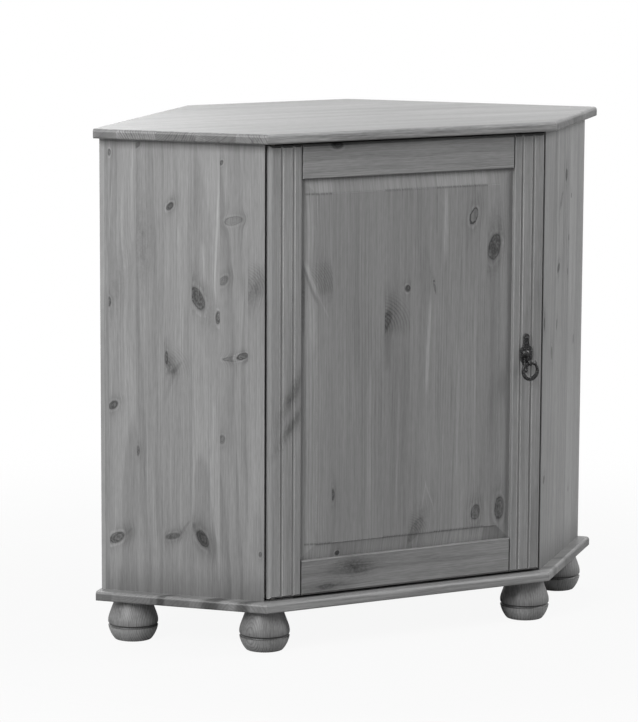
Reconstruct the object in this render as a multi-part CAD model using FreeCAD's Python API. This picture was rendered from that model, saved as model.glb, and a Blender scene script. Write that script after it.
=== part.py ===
import FreeCAD, Part
import math
import os

Vec = FreeCAD.Vector

# All lengths are in millimetres. X runs along the front, Y from the front to the room's corner, Z up.
# The origin is on the floor, under the middle of the plan.

# Overall size: a hexagon in plan, whose wall edges run at 45 degrees into the room's corner
overall_width = 900.0
overall_depth = 500.0
overall_height = 800.0
front_width = 504.0
back_width = 296.0

# Top and base boards
top_thickness = 15.0
base_thickness = 15.0
board_upper_round = 5.0
board_lower_round = 2.5

# Side panels, measured from the edges of the boards
side_overhang = 19.0
front_setback = 20.0
side_thickness = 18.0
side_corner_round = 1.0

# Back panels and the two rear corner posts
back_thickness = 6.0
back_recess = 3.0
post_width = 40.0
post_edge = 8.0

# Shelf and its pins
shelf_thickness = 15.0
shelf_height_share = 0.5
shelf_door_gap = 26.0
shelf_clearance = 1.5
shelf_front_round = 2.0
shelf_pin_radius = 2.5
shelf_pin_depth = 10.0
shelf_pin_reach = 9.0
shelf_pin_step = 64.0
shelf_pin_rows = (-1, 0, 1)
shelf_pin_place_shares = (0.3, 0.85)
shelf_pin_seat = 0.05

# Dowels between the boards and the uprights
dowel_radius = 4.0
dowel_board_depth = 10.0
dowel_upright_depth = 20.0
dowel_fit = 0.05
dowel_end_gap = 0.5
dowel_place_shares = (0.22, 0.55, 0.9)

# Turned feet
foot_height = 65.0
foot_radius = 38.9
foot_inset = 45.0
foot_sole_share = 0.745
foot_lower_bulge_shares = (0.93, 0.18)
foot_groove_share = 0.36
foot_groove_width = 5.2
foot_groove_depth = 2.4
foot_groove_lip_share = 1.0
foot_shoulder_shares = ((1.005, 0.46), (0.935, 0.63), (0.80, 0.85), (0.725, 1.0))
foot_dowel_radius = 10.0
foot_dowel_base_depth = 10.0
foot_dowel_foot_depth = 30.0

# Countersunk wood screws, one size for all
screw_shank_radius = 1.6
screw_head_radius = 3.2
screw_head_height = 2.0
screw_fit = 0.05
back_screw_bite = 13.0
back_screw_height_shares = (0.06, 0.5, 0.94)

# Door frame
door_setback = 14.0
door_thickness = 20.0
door_side_gap = 4.0
door_end_gap = 4.0
door_end_chamfer = 3.5
stile_width = 54.0
stile_edge_round = 6.0
stile_inner_round = 1.5
flute_width = 5.0
flute_depth = 1.6
flute_place_shares = (0.25, 0.62)
top_rail_width = 52.0
bottom_rail_width = 55.0
rail_round = 1.6
rail_joint_gap = 2.0
rail_joint_depth = 5.0

# Door panel, held by a tongue in grooves of the frame
panel_recess = 7.0
tongue_thickness = 6.0
tongue_length = 8.0
groove_depth = 9.0
tongue_fit = 0.1
bevel_side_width = 27.0
bevel_end_width = 24.0
bevel_rise = 5.4
shoulder_height = 1.2

# Pivot hinges at the top and the bottom of the left stile
hinge_edge_distance = 9.0
hinge_face_distance = 9.5
leaf_thickness = 2.0
leaf_length = 40.0
leaf_width = 10.0
leaf_end = 5.5
leaf_fit = 0.1
leaf_screw_bite = 10.0
leaf_screw_shares = (0.5, 0.85)
hinge_pin_radius = 2.5
hinge_pin_depth = 10.0
hinge_pin_fit = 0.05
hinge_pin_end_gap = 1.0
washer_radius = 4.6
washer_play = 0.1

# Magnetic catch under the top board and its strike on the door
catch_edge_distance = 62.0
catch_length = 46.0
catch_depth = 14.0
catch_wall = 4.0
catch_round = 2.0
catch_screw_bite = 9.5
catch_screw_share = 0.36
magnet_length = 20.0
magnet_depth = 9.0
magnet_height = 8.0
magnet_reach = 0.6
magnet_fit = 0.05
strike_length = 30.0
strike_height = 9.0
strike_thickness = 1.2
strike_drop = 5.5
strike_gap = 0.1
strike_screw_bite = 10.0

# Ring pull on the right stile
handle_rise = 2.5
plate_height = 63.0
plate_width = 22.0
plate_thickness = 2.0
plate_arc_shares = (
    (0, 1), (0.40, 0.965), (0.48, 0.89), (0.46, 0.83), (0.44, 0.78), (0.58, 0.70), (0.94, 0.62),
    (1, 0.46), (0.84, 0.31), (0.46, 0.19), (0.26, 0.08), (0.18, 0.02), (0, 0),
)
plate_pin_shares = (0.91, 0.08)
plate_pin_radius = 1.0
plate_pin_length = 12.0
plate_pin_head_radius = 1.8
plate_pin_head_height = 0.8
plate_pin_fit = 0.05
boss_radius = 6.5
boss_height = 3.5
boss_rise = -1.0
eye_drop = 13.0
eye_reach = 12.5
eye_radius = 5.2
eye_hole_radius = 3.2
eye_hole_rise = 0.1
neck_radius = 3.2
collar_radius = 4.6
collar_thickness = 1.5
stud_radius = 2.0
stud_fit = 0.1
ring_radius = 15.5
ring_hole_radius = 10.4
ring_hole_rise = 1.5
ring_thickness = 4.0
ring_round = 1.6
rear_washer_radius = 6.0
rear_washer_thickness = 1.0
nut_width = 7.0
nut_thickness = 3.2
stud_past_nut = 1.0

# One overrun for every cut that passes through a face, and one reach for matching edges
overrun = 1.0
near = 0.001

# Levels and planes that several pieces share
half_width = overall_width / 2
half_depth = overall_depth / 2
base_top = foot_height + base_thickness
top_under = overall_height - top_thickness
back_inner = back_recess + back_thickness
side_inner = side_overhang + side_thickness

to_rear_right = Vec(1, 1, 0).normalize()
to_rear_left = Vec(-1, 1, 0).normalize()
to_front_left = Vec(-1, -1, 0).normalize()
to_front_right = Vec(1, -1, 0).normalize()
to_front = Vec(0, -1, 0)
to_rear = Vec(0, 1, 0)
to_left = Vec(-1, 0, 0)
to_right = Vec(1, 0, 0)
up = Vec(0, 0, 1)
down = Vec(0, 0, -1)

# Corners of the boards on the right half of the plan, and the run of the side between them
front_corner = Vec(front_width / 2, -half_depth, 0)
outer_corner = Vec(half_width, half_depth - (overall_width - back_width) / 2, 0)
rear_corner = Vec(back_width / 2, half_depth, 0)
along_side = (outer_corner - front_corner).normalize()
out_of_side = along_side.cross(up)


def meet(start, along, other_start, other_along):
    """Where two lines of the plan cross."""
    across = up.cross(other_along)
    return start + along * ((other_start - start).dot(across) / along.dot(across))


def right_corners(front, side, wall, back):
    """Front, outer and rear corners of the plan's right half, each edge moved inwards."""
    on_front = front_corner + to_rear * front
    on_side = front_corner - out_of_side * side
    on_wall = rear_corner + to_front_left * wall
    on_back = rear_corner + to_front * back
    return (
        meet(on_front, to_right, on_side, along_side),
        meet(on_side, along_side, on_wall, to_rear_left),
        meet(on_wall, to_rear_left, on_back, to_right),
    )


def flipped(point):
    """The same point on the left half of the plan."""
    return Vec(-point.x, point.y, point.z)


def plan(front, side, wall, back):
    """All six corners of the plan, each edge moved inwards."""
    right = right_corners(front, side, wall, back)
    return list(right) + [flipped(point) for point in reversed(right)]


def prism(points, low, high):
    """An upright solid over an outline in plan."""
    lifted = [Vec(point.x, point.y, low) for point in points]
    face = Part.Face(Part.makePolygon(lifted + lifted[:1]))
    return face.extrude(Vec(0, 0, high - low))


def box(x_low, x_high, y_low, y_high, z_low, z_high):
    """A box between two values on each axis."""
    return Part.makeBox(x_high - x_low, y_high - y_low, z_high - z_low, Vec(x_low, y_low, z_low))


def rod(radius, length, start, direction):
    """A round bar."""
    return Part.makeCylinder(radius, length, start, direction)


def at_height(point, height):
    """A point of the plan, lifted."""
    return Vec(point.x, point.y, height)


def to_left_side(shape):
    """The mirror image of a piece on the right."""
    return shape.mirror(Vec(0, 0, 0), to_right)


def rounded(shape, radius, chosen):
    """A solid with the edges rounded whose middle is chosen."""
    edges = [edge for edge in shape.Edges if chosen(edge.CenterOfMass)]
    return shape.makeFillet(radius, edges)


def rounded_upright(shape, x, y, radius):
    """A solid with the upright edges at one place of the plan rounded."""
    return rounded(shape, radius, lambda middle: math.hypot(middle.x - x, middle.y - y) < near)


def screw(head, direction, length, growth=0):
    """A countersunk screw from the middle of its head, or the hole for one."""
    cone = Part.makeCone(
        screw_head_radius + growth, screw_shank_radius + growth, screw_head_height, head, direction
    )
    return cone.fuse(rod(screw_shank_radius + growth, length + growth, head, direction))


# Sizes of the body and the door that follow from the plan
body_corner = right_corners(front_setback, side_overhang, back_inner, back_inner)[0]
door_half = body_corner.x - door_side_gap
door_front = door_setback - half_depth
door_back = door_front + door_thickness
door_low = base_top + door_end_gap
door_high = top_under - door_end_gap
door_middle = (door_low + door_high) / 2
stile_inner = door_half - stile_width
opening_low = door_low + bottom_rail_width
opening_high = door_high - top_rail_width
tongue_front = door_front + panel_recess
tongue_back = tongue_front + tongue_thickness
pivot = Vec(hinge_edge_distance - door_half, door_front + hinge_face_distance, 0)
shelf_low = base_top + (top_under - base_top) * shelf_height_share
handle_x = stile_inner + stile_width * sum(flute_place_shares) / len(flute_place_shares)
handle_z = door_middle + handle_rise
plate_low = handle_z - plate_height / 2
plate_front = door_front - plate_thickness
eye = Vec(handle_x, plate_front - eye_reach, handle_z - eye_drop)


def upside_down(shape):
    """The mirror image of a piece at the door's upper end."""
    return shape.mirror(Vec(0, 0, door_middle), up)


def between(start, end, share):
    """The point at a share of the way."""
    return start + (end - start) * share


def side_places(shares):
    """Points along the middle of the right side panel."""
    front, rear, _ = right_corners(front_setback, side_overhang + side_thickness / 2, back_inner, back_inner)
    return [between(front, rear, share) for share in shares]


def post_outline(growth):
    """Outline of the right rear post: a wedge that fills the blunt corner of the back panels."""
    corner = right_corners(0, 0, back_inner, back_inner)[2]
    reach = post_width + growth
    edge = post_edge + growth
    on_wall = corner + to_front_right * reach
    on_back = corner + to_left * reach
    return [corner, on_wall, on_wall + to_front_left * edge, on_back + to_front * edge, on_back]


def post_middle():
    """Middle of the right rear post's outline."""
    points = post_outline(0)
    return sum(points, Vec(0, 0, 0)) / len(points)


def upright_places():
    """Where dowels join an upright to the boards, on the right half of the plan."""
    return side_places(dowel_place_shares) + [post_middle()]


def both_halves(points):
    """Points of the right half and their mirror images."""
    return points + [flipped(point) for point in points]


def board_dowels(level, direction, fit=0, end_gap=0):
    """Dowels across the joint at one level, or their holes; the direction points into the board."""
    length = dowel_board_depth + dowel_upright_depth + 2 * end_gap
    back_off = direction * (dowel_upright_depth + end_gap)
    starts = [at_height(place, level) - back_off for place in both_halves(upright_places())]
    return [rod(dowel_radius + fit, length, start, direction) for start in starts]


def all_dowel_holes():
    """Holes for the dowels at the top and at the base."""
    at_top = board_dowels(top_under, up, dowel_fit, dowel_end_gap)
    return at_top + board_dowels(base_top, down, dowel_fit, dowel_end_gap)


def foot_places():
    """The feet, by name, one inside each corner of the plan."""
    corners = right_corners(foot_inset, foot_inset, foot_inset, foot_inset)
    places = {}
    for row, corner in zip(("front", "side", "rear"), corners):
        places["foot_" + row + "_right"] = corner
        places["foot_" + row + "_left"] = flipped(corner)
    return places


def foot_dowel(place, fit=0, end_gap=0):
    """The dowel that joins a foot to the base board, or its hole."""
    start = at_height(place, foot_height - foot_dowel_foot_depth - end_gap)
    length = foot_dowel_foot_depth + foot_dowel_base_depth + 2 * end_gap
    return rod(foot_dowel_radius + fit, length, start, up)


def back_screws(growth=0):
    """Screws of the three back panels, or their holes, for the whole cupboard."""
    wall_outer = right_corners(0, side_overhang + side_thickness / 2, back_recess, back_recess)[1]
    panel_corner = right_corners(0, 0, back_recess, back_recess)[2]
    near_post = panel_corner + to_front_right * (post_width / 2)
    on_back = panel_corner + to_left * (post_width / 2)
    columns = [(wall_outer, to_front_left), (near_post, to_front_left), (on_back, to_front)]
    columns += [(flipped(place), flipped(direction)) for place, direction in columns]
    heights = [between(base_top, top_under, share) for share in back_screw_height_shares]
    return [
        screw(at_height(place, height), direction, back_thickness + back_screw_bite, growth)
        for place, direction in columns
        for height in heights
    ]


def shelf_pins(level, fit=0, reach=shelf_pin_reach):
    """Pins that carry the shelf at one level, or their holes, for the whole cupboard."""
    length = shelf_pin_depth + reach
    inner = [place - out_of_side * (side_thickness / 2) for place in side_places(shelf_pin_place_shares)]
    into_post = (to_rear + to_rear_right).normalize()
    outline = post_outline(0)
    chord = (outline[2] + outline[3]) / 2
    spots = [(place, out_of_side) for place in inner] + [(chord, into_post)]
    spots += [(flipped(place), flipped(direction)) for place, direction in spots]
    return [
        rod(shelf_pin_radius + fit, length + fit, at_height(place, level) - direction * reach, direction)
        for place, direction in spots
    ]


def shelf_pin_level():
    """Height of the pins' middle, just under the shelf."""
    return shelf_low - shelf_pin_radius - shelf_pin_seat


def shelf_pin_holes():
    """Rows of holes that let the shelf be set higher or lower."""
    holes = []
    for row in shelf_pin_rows:
        holes += shelf_pins(shelf_pin_level() + row * shelf_pin_step, dowel_fit, overrun)
    return holes


def eased_board(low, high):
    """A board over the whole plan, rounded along the front and both sides but square at the walls."""
    board = prism(plan(0, 0, 0, 0), low, high)
    for level, radius in ((high, board_upper_round), (low, board_lower_round)):
        board = rounded(
            board, radius,
            lambda middle: abs(middle.z - level) < near and middle.y < outer_corner.y - near,
        )
    return board


def make_top_board():
    holes = board_dowels(top_under, up, dowel_fit, dowel_end_gap)
    holes += leaf_screws(top_under - leaf_thickness, up, screw_fit)
    holes += catch_screws(screw_fit)
    return eased_board(top_under, overall_height).cut(holes)


def make_base_board():
    holes = board_dowels(base_top, down, dowel_fit, dowel_end_gap)
    holes += [foot_dowel(place, dowel_fit, dowel_end_gap) for place in foot_places().values()]
    holes += [upside_down(hole) for hole in leaf_screws(top_under - leaf_thickness, up, screw_fit)]
    return eased_board(foot_height, base_top).cut(holes)


def make_side_panel():
    """The right side panel; its front edge is cut square to the door."""
    outer = right_corners(front_setback, side_overhang, back_inner, back_inner)
    inner = right_corners(front_setback, side_inner, back_inner, back_inner)
    inner_front = meet(inner[1], along_side, outer[0], to_rear)
    panel = prism([outer[0], outer[1], inner[1], inner_front], base_top, top_under)
    panel = rounded_upright(panel, outer[0].x, outer[0].y, side_corner_round)
    return panel.cut(all_dowel_holes() + back_screws(screw_fit) + shelf_pin_holes())


def make_wall_panel():
    """The right back panel, against the wall, over the rear edge of the side panel."""
    outer = right_corners(0, side_overhang, back_recess, back_recess)
    inner = right_corners(0, side_overhang, back_inner, back_inner)
    panel = prism([outer[1], outer[2], inner[2], inner[1]], base_top, top_under)
    return panel.cut(back_screws(screw_fit))


def make_rear_panel():
    """The narrow back panel across the room's corner."""
    outer = right_corners(0, 0, back_recess, back_recess)[2]
    inner = right_corners(0, 0, back_inner, back_inner)[2]
    panel = prism([outer, flipped(outer), flipped(inner), inner], base_top, top_under)
    return panel.cut(back_screws(screw_fit))


def make_rear_post():
    post = prism(post_outline(0), base_top, top_under)
    return post.cut(all_dowel_holes() + back_screws(screw_fit) + shelf_pin_holes())


def make_shelf():
    front = door_back + shelf_door_gap + half_depth
    side = side_inner + shelf_clearance
    wall = back_inner + shelf_clearance
    shelf = prism(plan(front, side, wall, wall), shelf_low, shelf_low + shelf_thickness)
    shelf = rounded(shelf, shelf_front_round, lambda middle: (
        abs(middle.y + half_depth - front) < near and abs(middle.x) < near
    ))
    post = prism(post_outline(shelf_clearance), base_top, top_under)
    return shelf.cut([post, to_left_side(post)])


def foot_profile():
    """Half outline of a turned foot, in the XZ plane."""
    groove_middle = foot_height * foot_groove_share
    lip = foot_radius * foot_groove_lip_share
    sole = Vec(foot_radius * foot_sole_share, 0, 0)
    bulge_share, rise_share = foot_lower_bulge_shares
    bulge = Vec(foot_radius * bulge_share, 0, foot_height * rise_share)
    lower_lip = Vec(lip, 0, groove_middle - foot_groove_width / 2)
    groove = Vec(lip - foot_groove_depth, 0, groove_middle)
    upper_lip = Vec(lip, 0, groove_middle + foot_groove_width / 2)
    shoulder = [
        Vec(foot_radius * radius_share, 0, foot_height * height_share)
        for radius_share, height_share in foot_shoulder_shares
    ]
    curve = Part.BSplineCurve()
    curve.interpolate([upper_lip] + shoulder)
    middle_top = Vec(0, 0, foot_height)
    return Part.Wire([
        Part.makeLine(Vec(0, 0, 0), sole),
        Part.Arc(sole, bulge, lower_lip).toShape(),
        Part.Arc(lower_lip, groove, upper_lip).toShape(),
        curve.toShape(),
        Part.makeLine(shoulder[-1], middle_top),
        Part.makeLine(middle_top, Vec(0, 0, 0)),
    ])


def make_foot(place):
    foot = Part.Face(foot_profile()).revolve(Vec(0, 0, 0), up, 360)
    foot.translate(place)
    return foot.cut(foot_dowel(place, dowel_fit, dowel_end_gap))


def end_wedges():
    """Wedges that chamfer the front edge of the door at both ends."""
    reach = door_end_chamfer + overrun
    corners = [
        Vec(-half_width, door_front - overrun, door_high + overrun),
        Vec(-half_width, door_front - overrun, door_high - reach),
        Vec(-half_width, door_front + reach, door_high + overrun),
    ]
    wedge = Part.Face(Part.makePolygon(corners + corners[:1])).extrude(Vec(overall_width, 0, 0))
    return [wedge, upside_down(wedge)]


def flute(place):
    """The round groove down the face of a stile."""
    radius = (flute_width ** 2 / 4 + flute_depth ** 2) / (2 * flute_depth)
    start = Vec(place, door_front + flute_depth - radius, door_low - overrun)
    return rod(radius, door_high - door_low + 2 * overrun, start, up)


def make_plain_stile():
    """The right stile, before the fittings are let in."""
    stile = box(stile_inner, door_half, door_front, door_back, door_low, door_high)
    stile = rounded_upright(stile, door_half, door_front, stile_edge_round)
    stile = rounded_upright(stile, stile_inner, door_front, stile_inner_round)
    groove = box(
        stile_inner - overrun, stile_inner + groove_depth,
        tongue_front - tongue_fit, tongue_back + tongue_fit,
        door_low - overrun, door_high + overrun,
    )
    flutes = [flute(stile_inner + stile_width * share) for share in flute_place_shares]
    return stile.cut(flutes + [groove] + end_wedges())


def make_stile_left():
    """The hinge stile, with the door leaves let into its ends."""
    pocket = leaf_block(door_high - leaf_thickness, door_high + overrun, leaf_fit)
    pin_low = door_high - hinge_pin_depth - hinge_pin_end_gap
    pin_hole = rod(hinge_pin_radius + leaf_fit, door_high - pin_low, at_height(pivot, pin_low), up)
    fittings = [pocket, pin_hole] + leaf_screws(door_high, down, screw_fit)
    return to_left_side(make_plain_stile()).cut(fittings + [upside_down(cut) for cut in fittings])


def make_stile_right():
    """The handle stile, drilled for the ring pull."""
    start = Vec(eye.x, door_front - overrun, eye.z)
    stud_hole = rod(stud_radius + stud_fit, door_thickness + 2 * overrun, start, to_rear)
    return make_plain_stile().cut([stud_hole] + plate_pin_holes())


def make_rail(low, high, groove_edge, round_edge):
    """A rail: a front block set back from the stiles, a full back block and a tenon at each end."""
    short = stile_inner - rail_joint_gap
    joint_back = door_front + rail_joint_depth
    front = box(-short, short, door_front, joint_back, low, high)
    front = rounded(front, rail_round, lambda middle: (
        abs(middle.y - door_front) < near
        and (abs(middle.z - round_edge) < near or abs(abs(middle.x) - short) < near)
    ))
    back = box(-stile_inner, stile_inner, joint_back, door_back, low, high)
    reach = stile_inner + tongue_length
    tenon = box(-reach, reach, tongue_front, tongue_back, low, high)
    groove = box(
        -reach - overrun, reach + overrun,
        tongue_front - tongue_fit, tongue_back + tongue_fit,
        groove_edge - groove_depth, groove_edge + groove_depth,
    )
    return front.fuse([back, tenon]).cut([groove] + end_wedges())


def make_rail_top():
    return make_rail(opening_high, door_high, opening_high, opening_high).cut(strike_screw(screw_fit))


def make_rail_bottom():
    return make_rail(door_low, opening_low, opening_low, opening_low)


def opening_rectangle(side_inset, end_inset, y):
    """A rectangle inside the door's opening, as a closed wire."""
    x = stile_inner - side_inset
    low = opening_low + end_inset
    high = opening_high - end_inset
    corners = [Vec(-x, y, low), Vec(x, y, low), Vec(x, y, high), Vec(-x, y, high)]
    return Part.makePolygon(corners + corners[:1])


def make_door_panel():
    """A raised panel: a tongue all round, a bevel, a small shoulder and a flat field."""
    reach = stile_inner + tongue_length
    tongue = box(
        -reach, reach, tongue_front, tongue_back, opening_low - tongue_length, opening_high + tongue_length
    )
    outer = opening_rectangle(0, 0, tongue_front)
    inner = opening_rectangle(bevel_side_width, bevel_end_width, tongue_front - bevel_rise)
    bevel = Part.makeLoft([outer, inner], True, True)
    field = Part.Face(inner).extrude(to_front * shoulder_height)
    return tongue.fuse([bevel, field])


def leaf_block(low, high, fit=0):
    """The plan of a hinge leaf, at the upper end of the hinge stile."""
    left = pivot.x - leaf_end
    half = leaf_width / 2
    return box(left - fit, left + leaf_length + fit, pivot.y - half - fit, pivot.y + half + fit, low, high)


def leaf_screws(level, direction, growth=0):
    """Screws of one hinge leaf, or their holes."""
    left = pivot.x - leaf_end
    length = leaf_thickness + leaf_screw_bite
    heads = [Vec(left + leaf_length * share, pivot.y, level) for share in leaf_screw_shares]
    return [screw(head, direction, length, growth) for head in heads]


def pin_hole():
    """The running hole for the hinge pin through the leaves and the washer."""
    start = at_height(pivot, door_high - leaf_thickness - overrun)
    length = door_end_gap + leaf_thickness + 2 * overrun
    return rod(hinge_pin_radius + hinge_pin_fit, length, start, up)


def make_board_leaf():
    leaf = leaf_block(top_under - leaf_thickness, top_under)
    return leaf.cut([pin_hole()] + leaf_screws(top_under - leaf_thickness, up, screw_fit))


def make_door_leaf():
    leaf = leaf_block(door_high - leaf_thickness, door_high)
    return leaf.cut([pin_hole()] + leaf_screws(door_high, down, screw_fit))


def make_hinge_pin():
    start = at_height(pivot, door_high - hinge_pin_depth)
    return rod(hinge_pin_radius, hinge_pin_depth + door_end_gap, start, up)


def make_hinge_washer():
    start = at_height(pivot, door_high + washer_play)
    washer = rod(washer_radius, door_end_gap - leaf_thickness - washer_play, start, up)
    return washer.cut(pin_hole())


def catch_middle():
    """Middle of the catch's front face, which the strike meets."""
    front = door_back + strike_thickness + strike_gap
    return Vec(door_half - catch_edge_distance, front, door_high - strike_drop)


def catch_low():
    """Underside of the catch."""
    return catch_middle().z - magnet_height / 2 - catch_wall


def catch_screws(growth=0):
    """Screws that hold the catch up to the top board, or their holes."""
    middle = catch_middle() + to_rear * (magnet_reach + catch_depth / 2)
    length = top_under - catch_low() + catch_screw_bite
    offset = to_right * (catch_length * catch_screw_share)
    heads = [at_height(middle - offset, catch_low()), at_height(middle + offset, catch_low())]
    return [screw(head, up, length, growth) for head in heads]


def magnet_block(fit=0):
    """The magnet with its pole plates, or the slot for it."""
    middle = catch_middle()
    half = magnet_length / 2 + fit
    rise = magnet_height / 2 + fit
    return box(
        middle.x - half, middle.x + half, middle.y, middle.y + magnet_depth + fit,
        middle.z - rise, middle.z + rise,
    )


def make_catch_body():
    middle = catch_middle()
    front = middle.y + magnet_reach
    half = catch_length / 2
    body = box(middle.x - half, middle.x + half, front, front + catch_depth, catch_low(), top_under)
    for x in (middle.x - half, middle.x + half):
        for y in (front, front + catch_depth):
            body = rounded_upright(body, x, y, catch_round)
    return body.cut([magnet_block(magnet_fit)] + catch_screws(screw_fit))


def strike_screw(growth=0):
    """The screw of the strike plate, or its hole."""
    middle = catch_middle()
    head = Vec(middle.x, door_back + strike_thickness, middle.z)
    return screw(head, to_front, strike_thickness + strike_screw_bite, growth)


def make_strike_plate():
    middle = catch_middle()
    half = strike_length / 2
    rise = strike_height / 2
    plate = box(
        middle.x - half, middle.x + half, door_back, door_back + strike_thickness,
        middle.z - rise, middle.z + rise,
    )
    return plate.cut(strike_screw(screw_fit))


def plate_outline():
    """The closed outline of the backplate on the door's face, a chain of arcs down each side."""
    half = plate_width / 2
    points = [
        Vec(handle_x + half * width_share, door_front, plate_low + plate_height * height_share)
        for width_share, height_share in plate_arc_shares
    ]
    chain = zip(points[0::2], points[1::2], points[2::2])
    right = [Part.Arc(start, through, end).toShape() for start, through, end in chain]
    left = [arc.mirror(points[0], to_right) for arc in right]
    return Part.Wire(Part.sortEdges(right + left)[0])


def plate_pin_places():
    """Where the two small pins go through the backplate, on its face."""
    return [Vec(handle_x, plate_front, plate_low + plate_height * share) for share in plate_pin_shares]


def plate_pin_holes():
    """Holes for the pins in the backplate and the stile."""
    radius = plate_pin_radius + plate_pin_fit
    return [rod(radius, plate_pin_length + plate_pin_fit, place, to_rear) for place in plate_pin_places()]


def make_plate_pin(place):
    """A pin with a low head."""
    head = Part.makeCone(plate_pin_head_radius, plate_pin_radius, plate_pin_head_height, place, to_front)
    return head.fuse(rod(plate_pin_radius, plate_pin_length, place, to_rear))


def make_boss():
    """The low dome in the middle of the backplate, a cap of a ball."""
    ball_radius = (boss_radius ** 2 + boss_height ** 2) / (2 * boss_height)
    sunk = ball_radius - boss_height
    middle = Vec(handle_x, plate_front + sunk, handle_z + boss_rise)
    rim_angle = math.degrees(math.asin(sunk / ball_radius))
    return Part.makeSphere(ball_radius, middle, to_front, rim_angle, 90, 360)


def make_handle_backplate():
    plate = Part.Face(plate_outline()).extrude(to_front * plate_thickness)
    stud_hole = rod(
        stud_radius + stud_fit, plate_thickness + boss_height + 2 * overrun,
        Vec(eye.x, door_front + overrun, eye.z), to_front,
    )
    cuts = [stud_hole, collar_block(stud_fit)] + plate_pin_holes()
    return plate.fuse(make_boss()).cut(cuts)


def collar_block(fit=0):
    """The collar that presses the backplate to the door."""
    return rod(collar_radius + fit, collar_thickness + fit, Vec(eye.x, plate_front, eye.z), to_front)


def make_handle_post():
    """The eye that carries the ring, with a collar, a neck and a stud through the door."""
    stud_end = door_back + rear_washer_thickness + nut_thickness + stud_past_nut
    stud = rod(stud_radius, stud_end - plate_front, Vec(eye.x, plate_front, eye.z), to_rear)
    neck = rod(neck_radius, eye_reach, Vec(eye.x, plate_front, eye.z), to_front)
    ball = Part.makeSphere(eye_radius, eye)
    hole_start = eye + to_left * (eye_radius + overrun)
    hole = rod(eye_hole_radius, 2 * (eye_radius + overrun), hole_start, to_right)
    return ball.fuse([neck, collar_block(), stud]).cut(hole)


def make_handle_ring():
    """A crescent ring, thin where it passes through the eye and heavy at the bottom."""
    top_wire = (ring_radius - ring_hole_radius - ring_hole_rise) / 2
    middle = eye + down * (ring_radius - top_wire + eye_hole_rise)
    start = middle + to_front * (ring_thickness / 2)
    ring = rod(ring_radius, ring_thickness, start, to_rear)
    ring = ring.cut(rod(ring_hole_radius, ring_thickness, start + up * ring_hole_rise, to_rear))
    return ring.makeFillet(ring_round, [edge for edge in ring.Edges if len(edge.Vertexes) == 1])


def make_handle_washer():
    start = Vec(eye.x, door_back, eye.z)
    washer = rod(rear_washer_radius, rear_washer_thickness, start, to_rear)
    return washer.cut(rod(stud_radius + stud_fit, rear_washer_thickness, start, to_rear))


def make_handle_nut():
    """A hexagon nut on the stud, behind the door."""
    start = door_back + rear_washer_thickness
    reach = nut_width / math.sqrt(3)
    turns = [math.pi * step / 3 for step in range(6)]
    corners = [Vec(eye.x + reach * math.cos(turn), start, eye.z + reach * math.sin(turn)) for turn in turns]
    nut = Part.Face(Part.makePolygon(corners + corners[:1])).extrude(to_rear * nut_thickness)
    return nut.cut(rod(stud_radius + stud_fit, nut_thickness, Vec(eye.x, start, eye.z), to_rear))


def carcass_pieces():
    """The boards, panels, posts and shelf, with what joins them."""
    side_panel = make_side_panel()
    wall_panel = make_wall_panel()
    rear_post = make_rear_post()
    return {
        "top_board": make_top_board(),
        "base_board": make_base_board(),
        "side_panel_right": side_panel,
        "side_panel_left": to_left_side(side_panel),
        "wall_panel_right": wall_panel,
        "wall_panel_left": to_left_side(wall_panel),
        "rear_panel": make_rear_panel(),
        "rear_post_right": rear_post,
        "rear_post_left": to_left_side(rear_post),
        "shelf": make_shelf(),
        "shelf_pins": Part.makeCompound(shelf_pins(shelf_pin_level())),
        "top_dowels": Part.makeCompound(board_dowels(top_under, up)),
        "base_dowels": Part.makeCompound(board_dowels(base_top, down)),
        "back_panel_screws": Part.makeCompound(back_screws()),
    }


def foot_pieces():
    """The six feet and their dowels."""
    places = foot_places()
    pieces = {name: make_foot(place) for name, place in places.items()}
    pieces["foot_dowels"] = Part.makeCompound([foot_dowel(place) for place in places.values()])
    return pieces


def door_pieces():
    """The framed door with its raised panel."""
    return {
        "stile_left": make_stile_left(),
        "stile_right": make_stile_right(),
        "rail_top": make_rail_top(),
        "rail_bottom": make_rail_bottom(),
        "door_panel": make_door_panel(),
    }


def hinge_pieces():
    """Two pivot hinges, the lower one the mirror image of the upper one."""
    upper = {
        "board_leaf": make_board_leaf(),
        "door_leaf": make_door_leaf(),
        "hinge_pin": make_hinge_pin(),
        "hinge_washer": make_hinge_washer(),
    }
    pieces = {name + "_top": shape for name, shape in upper.items()}
    pieces.update({name + "_bottom": upside_down(shape) for name, shape in upper.items()})
    board_screws = leaf_screws(top_under - leaf_thickness, up)
    door_screws = leaf_screws(door_high, down)
    for name, screws in (("board_leaf_screws", board_screws), ("door_leaf_screws", door_screws)):
        pieces[name] = Part.makeCompound(screws + [upside_down(shape) for shape in screws])
    return pieces


def catch_pieces():
    """The magnetic catch and its strike."""
    return {
        "catch_body": make_catch_body(),
        "catch_magnet": magnet_block(),
        "catch_screws": Part.makeCompound(catch_screws()),
        "strike_plate": make_strike_plate(),
        "strike_screw": strike_screw(),
    }


def handle_pieces():
    """The ring pull and what fastens it."""
    return {
        "handle_backplate": make_handle_backplate(),
        "handle_pins": Part.makeCompound([make_plate_pin(place) for place in plate_pin_places()]),
        "handle_post": make_handle_post(),
        "handle_ring": make_handle_ring(),
        "handle_washer": make_handle_washer(),
        "handle_nut": make_handle_nut(),
    }


def main():
    os.makedirs("parts", exist_ok=True)
    for group in (carcass_pieces, foot_pieces, door_pieces, hinge_pieces, catch_pieces, handle_pieces):
        for name, shape in group().items():
            shape.exportStep("parts/" + name + ".step")
            print(name, "solids", len(shape.Solids), "valid", shape.isValid(), "volume", round(shape.Volume))


main()
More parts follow.
